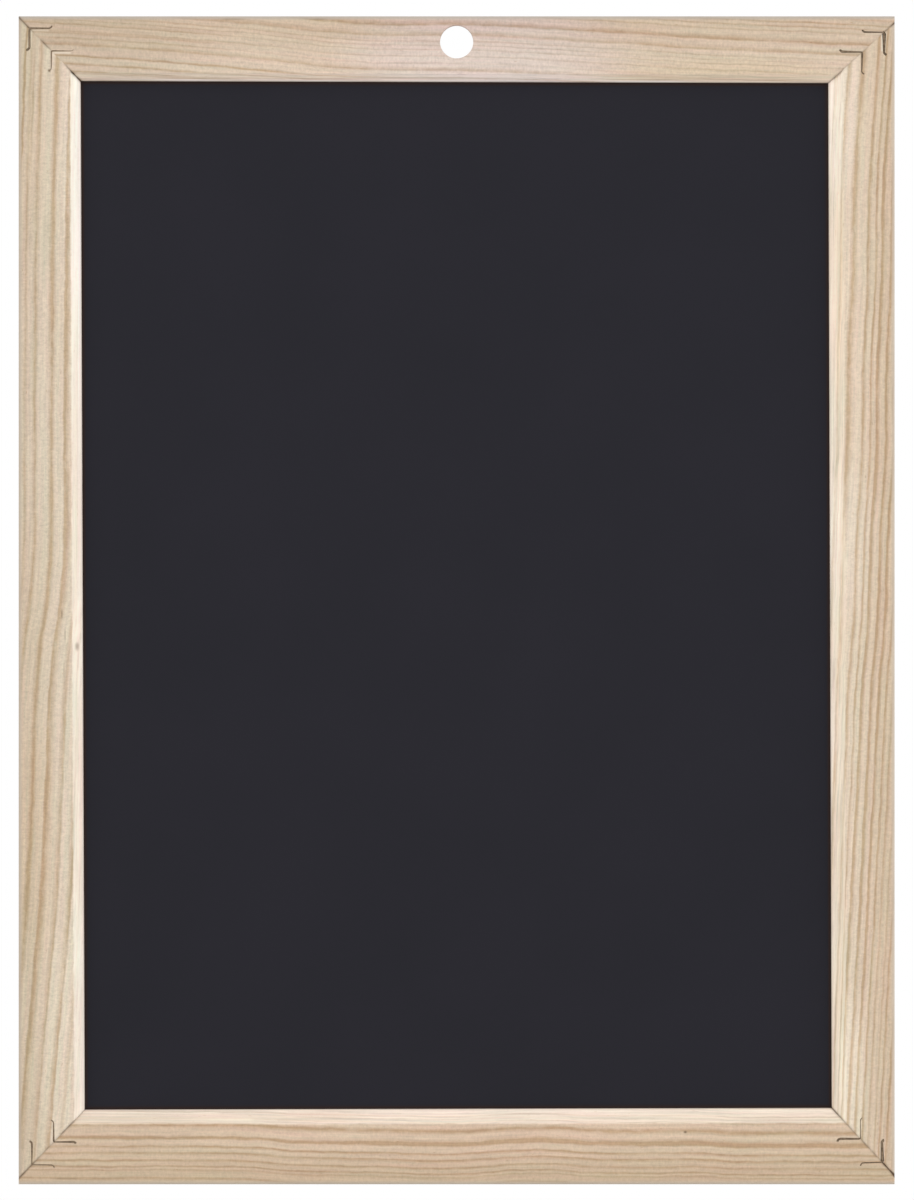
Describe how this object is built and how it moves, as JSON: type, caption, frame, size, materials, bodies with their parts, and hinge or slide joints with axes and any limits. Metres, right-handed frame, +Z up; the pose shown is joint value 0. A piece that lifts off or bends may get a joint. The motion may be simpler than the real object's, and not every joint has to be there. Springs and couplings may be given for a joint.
{
  "type": "framed writing board",
  "caption": "Writing board, black on its front and white on its back, in a mitred pine frame with V-nailed corners and a round hole to hang it by.",
  "frame": {"origin": "centre of the hanging hole in the top rail, on the back face, where the wall is", "axes": "+Z up and +X to the right as seen from the front, -Y out of the black front face, +Y into the wall"},
  "size_m": [0.3, 0.012, 0.4],
  "materials": {
    "pine": "bare planed softwood, sanded, no varnish",
    "hardboard": "pressed fibre, raw edges",
    "black_sheet": "matt charcoal black, fine even texture",
    "white_sheet": "glossy dry-wipe white",
    "nail_steel": "dull rolled steel strip"
  },
  "bodies": {
    "root": {"left_stile": "pine", "top_rail": "pine", "right_stile": "pine", "bottom_rail": "pine", "panel_core": "hardboard", "front_writing_sheet": "black_sheet", "back_writing_sheet": "white_sheet", "v_nail_top_left_outer": "nail_steel", "v_nail_top_left_inner": "nail_steel", "v_nail_top_right_outer": "nail_steel", "v_nail_top_right_inner": "nail_steel", "v_nail_bottom_right_outer": "nail_steel", "v_nail_bottom_right_inner": "nail_steel", "v_nail_bottom_left_outer": "nail_steel", "v_nail_bottom_left_inner": "nail_steel"}
  },
  "joints": []
}
